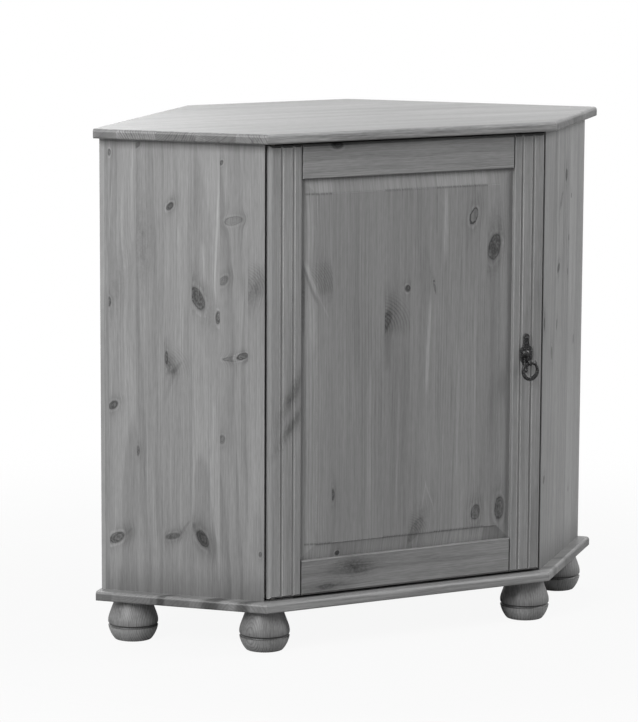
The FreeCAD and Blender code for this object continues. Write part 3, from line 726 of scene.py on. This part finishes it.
PANEL_KNOTS = (
    (115, 659, 6, 11, 0.2, 0.04, 0.8, 0.2), (154, 610, 10, 18, 0.15, 0.33, 0.25, 0.4),
    (-2, 552, 4.5, 5, 0.0, 0.7, 0.1, 0.15), (-39, 503, 8, 17, 0.25, 0.3, 0.0, 0.25),
    (-142, 568, 9, 18, -0.2, 0.0, 0.0, 0.15), (-182, 552, 3, 24, 0.0, 0.0, 0.0, 0.3),
    (169, 192, 8.5, 17, 0.0, 0.4, 0.25, 0.25), (124, 189, 7, 11, 0.1, 0.3, 0.25, 0.25),
    (-120, 145, 3.5, 3.5, 0.0, 0.75, 0.1, 0.2), (-131, 239, 3, 9, 0.0, 0.45, 0.1, 0.2),
    (17, 171, 8, 18, 0.5, 0.1, 0.1, 0.2), (44, 560, 1.6, 2, 0.0, 0.4, 0.0, 0.1),
    (46, 548, 2, 10, -0.3, 0.3, 0.0, 0.2),
)
RIGHT_KNOTS = (
    (20, 478, 4, 10, 0.0, 0.5, 0.1, 0.25), (104, 466, 3, 8, 0.2, 0.5, 0.1, 0.2),
    (72, 424, 4, 9, 0.0, 0.4, 0.1, 0.3), (221, 424, 3, 7, 0.0, 0.5, 0.1, 0.1),
    (156, 702, 7, 9, 0.0, 0.5, 0.1, 0.25), (125, 664, 6, 12, 0.6, 0.2, 0.1, 0.2),
    (191, 664, 3, 4, 0.0, 0.6, 0.1, 0.1), (179, 597, 3, 5, 0.0, 0.6, 0.1, 0.1),
    (112, 556, 8, 7, 0.4, 0.45, 0.1, 0.25), (174, 542, 3, 5, 0.0, 0.5, 0.1, 0.1),
    (33, 224, 5, 6, 0.3, 0.5, 0.1, 0.2), (-4, 203, 7, 16, 0.6, 0.15, 0.0, 0.45),
    (202, 176, 3, 4, 0.0, 0.3, 0.0, 0.1),
)
STILE_KNOTS = ((-201, 401, 6, 17, 0.55, 0.05, 0.0, 0.34), (-203, 351, 5.5, 14, 0.7, 0.05, 0.0, 0.32))
RAIL_KNOTS = {
    "rail_top": ((779, -125, 5, 9, 0.0, 0.6, 0.1, 0.2),),
    "rail_bottom": ((122, -95, 9, 16, 0.0, 0.0, 0.0, 0.45), (95, -140, 4, 14, 0.0, 0.2, 0.0, 0.4)),
}
# Streaks, in millimetres: across at the low end, low end, high end, half width, then lean and light
LEFT_STREAKS = (
    (-92, 545, 710, 1.6, 0.03, 0.34), (-110, 570, 625, 4, 0.0, 0.2), (-152, 560, 650, 2, 0.0, 0.2),
    (-146, 420, 560, 3, 0.0, 0.12), (-48, 590, 640, 1.6, 0.0, 0.18), (-48, 500, 560, 1.5, 0.02, 0.18),
    (-162, 700, 780, 3, 0.0, 0.16), (-74, 700, 780, 2, 0.0, 0.16), (-236, 420, 700, 3, -0.02, 0.14),
    (-190, 180, 420, 2.5, 0.01, 0.14), (-98, 200, 400, 2, 0.02, 0.2), (-60, 180, 420, 2.5, 0.0, 0.14),
    (-264, 600, 720, 1.5, 0.06, 0.2), (-180, 500, 690, 5, 0.0, -0.1), (-124, 640, 780, 5, 0.0, -0.12),
    (-153, 176, 198, 2.5, 0.9, -0.2), (-119, 180, 196, 3, -0.3, -0.25), (-103, 150, 166, 3, -0.5, -0.2),
    (-164, 426, 446, 4, 0.9, -0.18), (-172, 385, 440, 3, 0.3, -0.12), (-244, 168, 180, 3, 1.0, -0.16),
)
PANEL_STREAKS = (
    (64, 600, 705, 4, 0.0, 0.36), (33, 395, 530, 3, 0.03, 0.42), (-180, 600, 700, 9, 0.0, 0.16),
    (-112, 300, 700, 2, 0.0, 0.12), (-68, 200, 420, 3, 0.0, 0.14), (88, 220, 470, 2.5, 0.0, 0.14),
    (118, 240, 520, 2, 0.0, 0.14), (-20, 180, 400, 2, 0.01, 0.12), (-161, 540, 592, 3, -0.38, -0.28),
    (-161, 553, 600, 4, -0.37, 0.3), (-141, 512, 553, 1.5, -0.45, 0.15), (-170, 470, 550, 9, 0.0, 0.12),
    (-38, 430, 495, 5, 0.0, -0.18), (-90, 430, 700, 4, 0.0, -0.1), (150, 250, 560, 3, 0.0, -0.1),
    (20, 560, 700, 3, 0.0, -0.08), (-48, 200, 470, 3, 0.0, -0.08), (26, 206, 242, 1.2, 0.19, 0.2),
    (46, 194, 242, 1.2, -0.28, 0.2), (147, 170, 205, 6, -0.2, 0.08), (-20, 165, 480, 19, 0.0, -0.1),
    (90, 165, 560, 34, 0.0, 0.06), (-160, 165, 470, 18, 0.0, 0.07), (153, 300, 560, 12, 0.0, -0.1),
    (-82, 170, 690, 0.9, 0.0, -0.16), (-76, 170, 640, 0.9, 0.0, -0.14), (-70, 190, 690, 0.9, 0.0, -0.16),
    (-64, 170, 560, 0.9, 0.0, -0.14), (-58, 220, 600, 0.9, 0.0, -0.14), (-52, 170, 470, 0.9, 0.0, -0.14),
)
BASE_STREAKS = (
    (-185, -350, -285, 11, 0.0, -0.66), (-222, -310, -250, 7, 0.0, -0.6), (-127, -400, -340, 5, 0.0, -0.6),
    (-222, 250, 310, 9, 0.0, -0.4), (-168, 305, 365, 7, 0.0, -0.4),
)
# Fans, in millimetres and degrees: across, height, radius, half depth, direction, half opening, pitch, dark
LEFT_FANS = ((-52, 556, 36, 18, 36, 36, 4.2, 0.22), (-184, 425, 36, 20, 28, 30, 4.2, 0.2))
PANEL_FANS = (
    (-55, 487, 36, 26, 35, 40, 5.0, 0.32), (-202, 548, 60, 18, 25, 24, 3.6, 0.26),
    (0, 158, 26, 14, 45, 40, 4.0, 0.22),
)

# Boards of glued staves
TOP_MIDDLE_HEIGHT = 0.7925
SIDE_LOW_END = 0.08
PANEL_SHOULDERS = (0.163, 0.705)
dress(pine("pine_top", Y, X, start=0.012, seed=3.0, contrast=2.2, ring=0.0026, hatch=0.5, sawn=(-0.5, 0.9),
           middle=(0.0, -TOP_MIDDLE_HEIGHT)), "top_board")
dress(pine("pine_base", Y, X, start=0.02, seed=8.0, contrast=1.4, ring=0.0038, hatch=0.1,
           streaks=BASE_STREAKS), "base_board")
# The side panels darken towards their lower ends: painted shade with darker stain
dress(pine("pine_side_left", LEFT_RUN, Z, start=-0.0387, seed=5.0, tone=0.252, bands=0.7,
           dark_end=SIDE_LOW_END, knots=LEFT_KNOTS, fans=LEFT_FANS, streaks=LEFT_STREAKS), "side_panel_left")
dress(pine("pine_side_right", RIGHT_RUN, Z, seed=11.0, contrast=1.3, dark_end=SIDE_LOW_END,
           knots=RIGHT_KNOTS), "side_panel_right")
# The panel's slanting faces are made lighter as painted light
dress(pine("pine_panel", X, Z, start=0.0024, seed=14.0, tone=0.233, contrast=0.9, rings=0.1, bands=0.5,
           slant=0.16, solid=0.1, knots=PANEL_KNOTS, fans=PANEL_FANS, streaks=PANEL_STREAKS,
           shoulders=PANEL_SHOULDERS), "door_panel")
dress(pine("pine_posts", X, Z, seed=31.0), "rear_post_right", "rear_post_left")
dress(pine("pine_shelf", Y, X, seed=33.0), "shelf")

# The door's frame: each stile and rail is one piece of wood, with its own random draw
STILE_TONES = {"stile_left": 0.25, "stile_right": 0.237}
STILE_SEEDS = {"stile_left": 21.0, "stile_right": 23.0}
RAIL_SEEDS = {"rail_top": 25.0, "rail_bottom": 27.0}
RAIL_HEART = (0.09, 0.03)
# The stiles' strong edge wear also paints highlights beside their flutes
for name, seed in STILE_SEEDS.items():
    spot = middle_of(name)
    dress(pine("pine_" + name, X, Z, stave=0.0, seed=seed, tone=STILE_TONES[name], bands=0.6, rub=1.5,
               dirt=0.1, knots=STILE_KNOTS, middle=(spot.x, spot.y)), name)
for name, seed in RAIL_SEEDS.items():
    spot = middle_of(name)
    dress(pine("pine_" + name, Z, X, stave=0.0, seed=seed, tone=0.215, rub=0.6, ring=0.0036, bands=0.2,
               rings=0.17, fine=1.5, contrast=1.3, run=9.0, wave=0.002, knots=RAIL_KNOTS[name],
               heart=RAIL_HEART, middle=(spot.z, -spot.y)), name)

# Feet: where the heart of the log lies beside each, in degrees round the upright, and its grey
FOOT_HEARTS = {"foot_front_left": 208, "foot_front_right": 170, "foot_rear_left": 40, "foot_rear_right": 130,
               "foot_side_left": 150, "foot_side_right": 160}
FOOT_HEART_REACH = 0.06
FOOT_TONE = 0.195
FOOT_OTHER_TONES = {"foot_side_left": 0.23}
FOOT_GROOVE_SHARE = 0.36
FOOT_FIRST_SEED = 40.0
# The feet's strong grime paints shade in their grooves, and the turned groove gets painted shade with painted
# light below it
for number, (name, degrees) in enumerate(FOOT_HEARTS.items()):
    spot = middle_of(name)
    turn = math.radians(degrees)
    heart = (FOOT_HEART_REACH * math.cos(turn), -FOOT_HEART_REACH * math.sin(turn))
    tone = FOOT_OTHER_TONES.get(name, FOOT_TONE)
    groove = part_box(name)[1].z * FOOT_GROOVE_SHARE
    dress(pine("pine_" + name, X, Z, stave=0.0, seed=FOOT_FIRST_SEED + number, tone=tone, ring=0.0026,
               contrast=1.3, rings=0.4, dirt=0.6, middle=(spot.x, -spot.y), heart=heart, groove=groove), name)

# Dowels and back panels
beech = pine("beech", X, Z, stave=0.0, seed=60.0, tone=0.4, ring=0.0012)
dress(beech, "top_dowels", "base_dowels", "foot_dowels")
dress(plywood("plywood_left", RIGHT_RUN, Z, seed=2.0), "wall_panel_left")
dress(plywood("plywood_right", LEFT_RUN, Z, seed=5.0), "wall_panel_right")
dress(plywood("plywood_rear", X, Z, seed=9.0), "rear_panel")

# Metal parts and the catch: colour, then roughness
# The iron's edge wear and speckles paint highlights and glints on it
iron = metal("dark_iron", (0.009, 0.009, 0.0095), 0.24, mottle=0.9, scale=550.0, wear_and_glint=0.42, metallic=0.0,
             dents=1.0, shine=0.38, speckle_glint=0.09)
steel = metal("bright_steel", (0.36, 0.36, 0.37), 0.4, wear_and_glint=0.15)
# The hinge leaves are dark steel as painted shade, so they stay dark in the door's gaps
leaf = metal("leaf_steel_painted_shade", (0.12, 0.12, 0.12), 0.55, wear_and_glint=0.1)
dress(iron, "handle_backplate", "handle_pins", "handle_post", "handle_ring")
dress(leaf, *(name for name in nodes if "_leaf_" in name and not name.endswith("screws")))
dress(steel, *(name for name in nodes if name.endswith(("screws", "screw")) or name.startswith("hinge_pin")))
dress(steel, "shelf_pins", "strike_plate", "handle_washer", "handle_nut")
# The washers are darkened as painted shade, since they sit in shadow
dress(metal("brass", (0.1, 0.095, 0.085), 0.5), "hinge_washer_top", "hinge_washer_bottom")
dress(metal("magnet_plates", (0.3, 0.3, 0.31), 0.35), "catch_magnet")
dress(metal("catch_plastic", (0.17, 0.17, 0.17), 0.5, mottle=0.12, metallic=0.0), "catch_body")


def new_piece(name, bm, material, body):
    """A finished mesh that rides on a body."""
    for face in bm.faces:
        face.smooth = True
    mesh = bpy.data.meshes.new(name)
    bm.to_mesh(mesh)
    bm.free()
    mesh.materials.append(material)
    piece = bpy.data.objects.new(name, mesh)
    scene.collection.objects.link(piece)
    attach(piece, body)


def add_drop(bm, place, along, size, width=1.0, height=1.0):
    """A drop shape on a face that looks to the front, its width and height in shares of its size."""
    aside = along.cross(Y)
    turn = Matrix((along * size, aside * (size * width), Y * (size * height))).transposed().to_4x4()
    bmesh.ops.create_icosphere(bm, subdivisions=2, radius=1.0, matrix=Matrix.Translation(place) @ turn)


def line_length(points):
    return sum((there - here).length for here, there in zip(points, points[1:]))


# A face looks to the front when its normal is this close to it, and faces within a hair lie on one level
FRONT_FACING = -0.999
LEVEL_DIGITS = 5
LEVEL_HAIR = 1e-5
SAME_POINT = 1e-6


def front_outline(node):
    """The longest loop of edges round the flat front of a node, as points in order."""
    bm = bmesh.new()
    bm.from_mesh(nodes[node].data)
    bmesh.ops.remove_doubles(bm, verts=bm.verts, dist=SAME_POINT)
    facing = [face for face in bm.faces if face.normal.y < FRONT_FACING]
    areas = {}
    for face in facing:
        level = round(face.calc_center_median().y, LEVEL_DIGITS)
        areas[level] = areas.get(level, 0.0) + face.calc_area()
    level = max(areas, key=areas.get)
    fronts = {face for face in facing if abs(face.calc_center_median().y - level) < LEVEL_HAIR}
    rest = [edge for edge in bm.edges if sum(face in fronts for face in edge.link_faces) == 1]
    loops = []
    while rest:
        edge = rest.pop()
        start, vert = edge.verts
        loop = [start.co.copy(), vert.co.copy()]
        while vert is not start:
            edge = next(other for other in vert.link_edges if other in rest)
            rest.remove(edge)
            vert = edge.other_vert(vert)
            loop.append(vert.co.copy())
        loops.append(loop)
    bm.free()
    return max(loops, key=line_length)


def evenly(points, spacing):
    """Places at even distances along a closed line, each with the line's direction there."""
    total = line_length(points)
    count = round(total / spacing)
    places = []
    walked = 0.0
    for here, there in zip(points, points[1:]):
        run = (there - here).length
        while len(places) < count and len(places) * total / count < walked + run:
            share = (len(places) * total / count - walked) / run
            places.append((here.lerp(there, share), (there - here).normalized()))
        walked += run
    return places


# The pull's plate: beads inside its edge, and petals round its boss
BEAD = 0.9 * MM
BEAD_WIDTH = 0.8
BEAD_HEIGHT = 0.7
BEAD_SPACING = 2.4 * MM
BEAD_INSET = 1.3 * MM
BOSS_HEIGHT = 0.434
PETALS = 8
PETAL = 2.2 * MM
PETAL_WIDTH = 0.55
PETAL_HEIGHT = 0.5
PETAL_RADIUS = 8.2 * MM


def plate_ornament():
    """A row of beads inside the backplate's edge, and petals round its boss."""
    outline = front_outline("handle_backplate")
    middle = sum(outline, Vector()) / len(outline)
    bm = bmesh.new()
    for place, run in evenly(outline, BEAD_SPACING):
        inward = run.cross(Y)
        if inward.dot(middle - place) < 0:
            inward = -inward
        add_drop(bm, place + inward * BEAD_INSET, run, BEAD, BEAD_WIDTH, BEAD_HEIGHT)
    boss = Vector((middle.x, outline[0].y, BOSS_HEIGHT))
    for number in range(PETALS):
        angle = FULL_TURN * (number + 0.5) / PETALS
        out = X * math.cos(angle) + Z * math.sin(angle)
        add_drop(bm, boss + out * PETAL_RADIUS, out, PETAL, PETAL_WIDTH, PETAL_HEIGHT)
    new_piece("plate_ornament", bm, iron, "door")


# The pull's ring: beads along its heavy part, and tips that curl up beside the eye, angles in degrees
RING_BEADS = 13
RING_SWEEP = 170
RING_BEAD_INSET = 2.6 * MM
RING_BEAD_HEIGHT = 0.6
CURL = 1.7 * MM
CURL_STEPS = 5
CURL_START = 1.5 * MM
CURL_RISE = 4.2 * MM
CURL_BOW = 0.6
CURL_FROM = 46
CURL_SWEEP = 14
CURL_TAPER = 0.35


def ring_ornament():
    """Beads on the heavy part of the ring, and a curled tip at each side of the eye."""
    low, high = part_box("handle_ring")
    middle = (low + high) / 2
    radius = (high.z - low.z) / 2
    bm = bmesh.new()
    for number in range(RING_BEADS):
        angle = math.radians(RING_SWEEP) * (number / (RING_BEADS - 1) - 0.5)
        out = X * math.sin(angle) - Z * math.cos(angle)
        place = middle + out * (radius - RING_BEAD_INSET)
        place.y = low.y
        add_drop(bm, place, out.cross(Y), BEAD, height=RING_BEAD_HEIGHT)
    for side in (-1, 1):
        for number in range(CURL_STEPS):
            share = number / (CURL_STEPS - 1)
            angle = math.radians(CURL_FROM - CURL_SWEEP * share)
            out = X * side * math.sin(angle) + Z * math.cos(angle)
            place = middle + out * (radius - CURL_START + CURL_RISE * share ** CURL_BOW)
            add_drop(bm, place, out, CURL * (1.0 - CURL_TAPER * share))
    new_piece("ring_ornament", bm, iron, "ring")


plate_ornament()
ring_ornament()

# Lights: name, place, target, width and length, power in watts
LIGHTS = (
    ("key_left", (-2.9, -1.5, 2.3), (-0.2, 0, 0.6), (1.6, 1.8), 112),
    ("fill_right", (2.95, -1.2, 2.3), (0.2, 0, 0.6), (1.6, 1.8), 82),
    ("top", (0.0, 0.3, 3.2), (0, 0, 0.5), (2.6, 2.2), 20),
    ("back", (0.0, 3.2, 2.4), (0, 0, 0.5), (2.6, 1.6), 40),
)


def add_light(name, place, target, size, power):
    """A soft rectangular light that looks at a target."""
    lamp = bpy.data.lights.new(name, "AREA")
    lamp.shape = "RECTANGLE"
    lamp.size, lamp.size_y = size
    lamp.energy = power
    holder = bpy.data.objects.new(name, lamp)
    holder.location = place
    holder.rotation_euler = (Vector(target) - Vector(place)).to_track_quat("-Z", "Y").to_euler()
    scene.collection.objects.link(holder)


for light in LIGHTS:
    add_light(*light)


def mix_shaders(tree, share, first, second):
    """A mix of two shader nodes."""
    node = tree.nodes.new("ShaderNodeMixShader")
    feed(tree, node.inputs[0], share)
    tree.links.new(first.outputs[0], node.inputs[1])
    tree.links.new(second.outputs[0], node.inputs[2])
    return node


WHITE = (1, 1, 1, 1)
WORLD_GLOW = 0.2


def build_world():
    """White where it is seen, also in a reflection or through something clear, and a weak glow as a light."""
    world = bpy.data.worlds.new("studio")
    scene.world = world
    world.use_nodes = True
    tree = world.node_tree
    tree.nodes.clear()
    path = tree.nodes.new("ShaderNodeLightPath")
    seen = Field(tree, path.outputs["Is Camera Ray"])
    for ray in ("Is Glossy Ray", "Is Transmission Ray"):
        seen = seen.call("MAXIMUM", Field(tree, path.outputs[ray]))
    glow = tree.nodes.new("ShaderNodeBackground")
    glow.inputs["Strength"].default_value = WORLD_GLOW
    white = tree.nodes.new("ShaderNodeBackground")
    for sky in (glow, white):
        sky.inputs["Color"].default_value = WHITE
    both = mix_shaders(tree, seen, glow, white)
    tree.links.new(both.outputs[0], tree.nodes.new("ShaderNodeOutputWorld").inputs[0])


# The floor, in metres: corners, grey, and the distances between which the camera sees it fade
FLOOR_CORNERS = ((-30, -30, 0), (30, -30, 0), (30, 40, 0), (-30, 40, 0))
FLOOR_GREY = (0.36, 0.36, 0.36, 1)
FLOOR_ROUGHNESS = 0.9
FLOOR_PALENESS = 0.92
FLOOR_FADE = (0.55, 1.5)


def build_floor():
    """A pale floor with a soft shadow, which fades into the white background."""
    mesh = bpy.data.meshes.new("floor")
    mesh.from_pydata(FLOOR_CORNERS, [], [(0, 1, 2, 3)])
    floor = bpy.data.objects.new("floor", mesh)
    scene.collection.objects.link(floor)
    material, tree, shader = new_material("floor")
    shader.inputs["Base Color"].default_value = FLOOR_GREY
    shader.inputs["Roughness"].default_value = FLOOR_ROUGHNESS
    path = tree.nodes.new("ShaderNodeLightPath")
    seen = Field(tree, path.outputs["Is Camera Ray"])
    shine = tree.nodes.new("ShaderNodeEmission")
    shine.inputs["Color"].default_value = WHITE
    pale = mix_shaders(tree, seen * FLOOR_PALENESS, shader, shine)
    point = tree.nodes.new("ShaderNodeTexCoord").outputs["Object"]
    fade = distance(dot(tree, point, X), dot(tree, point, Y)).ramp(*FLOOR_FADE) * seen
    clear = tree.nodes.new("ShaderNodeBsdfTransparent")
    both = mix_shaders(tree, fade, pale, clear)
    tree.links.new(both.outputs[0], tree.nodes["Material Output"].inputs[0])
    mesh.materials.append(material)


# The camera stands to the left of the front and looks slightly down
CAMERA_PLACE = (-2.51975, -4.7795, 1.29382)
CAMERA_YAW = math.radians(27.478)
CAMERA_PITCH = math.radians(9.370)
CAMERA_ROLL = math.radians(0.2645)
SENSOR_WIDTH = 36
# The focal length and the picture's height, both in pixels
FOCAL_LENGTH = 3399.82
PICTURE_HEIGHT = 722
CAMERA_REACH = 200


def build_camera():
    flat = math.cos(CAMERA_PITCH)
    ahead = Vector((math.sin(CAMERA_YAW) * flat, math.cos(CAMERA_YAW) * flat, -math.sin(CAMERA_PITCH)))
    level = Vector((math.cos(CAMERA_YAW), -math.sin(CAMERA_YAW), 0))
    upright = level.cross(ahead)
    to_right = level * math.cos(CAMERA_ROLL) + upright * math.sin(CAMERA_ROLL)
    to_top = upright * math.cos(CAMERA_ROLL) - level * math.sin(CAMERA_ROLL)
    camera = bpy.data.cameras.new("camera")
    camera.sensor_width = SENSOR_WIDTH
    camera.lens = FOCAL_LENGTH * SENSOR_WIDTH / PICTURE_HEIGHT
    camera.clip_end = CAMERA_REACH
    viewer = bpy.data.objects.new("camera", camera)
    turned = Matrix((to_right, to_top, -ahead)).transposed().to_4x4()
    viewer.matrix_world = Matrix.Translation(CAMERA_PLACE) @ turned
    scene.collection.objects.link(viewer)
    scene.camera = viewer


build_world()
build_floor()
build_camera()
